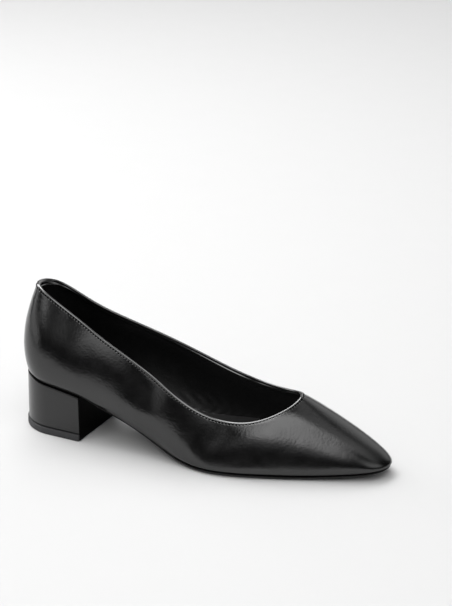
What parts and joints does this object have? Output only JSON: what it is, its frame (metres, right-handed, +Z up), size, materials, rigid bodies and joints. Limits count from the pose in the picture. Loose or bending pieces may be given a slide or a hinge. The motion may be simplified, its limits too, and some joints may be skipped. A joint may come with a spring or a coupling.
{
  "type": "low heel pump",
  "caption": "Pointed toe pump for the right foot: a low cut black leather upper with a rolled topline, a thin sole and a low covered block heel on a rubber top piece.",
  "frame": {"origin": "middle of the shoe's box in plan, at the floor that the sole and the heel stand on", "axes": "+X from the heel to the toe, +Y to the wearer's left, which is the inner side of this right shoe, +Z up"},
  "size_m": [0.2517, 0.0765, 0.0963],
  "materials": {
    "upper_leather": "smooth nappa, semi-gloss",
    "binding_leather": "smooth rolled edge, semi-gloss",
    "sock_leather": "fine grain, matt",
    "sole_resin": "dyed edge, satin",
    "heel_lacquer": "smooth cover, satin gloss",
    "tip_rubber": "matt"
  },
  "bodies": {
    "root": {"upper": "upper_leather", "topline_binding": "binding_leather", "insole": "sock_leather", "outsole": "sole_resin", "heel": "heel_lacquer", "heel_tip": "tip_rubber"}
  },
  "joints": []
}
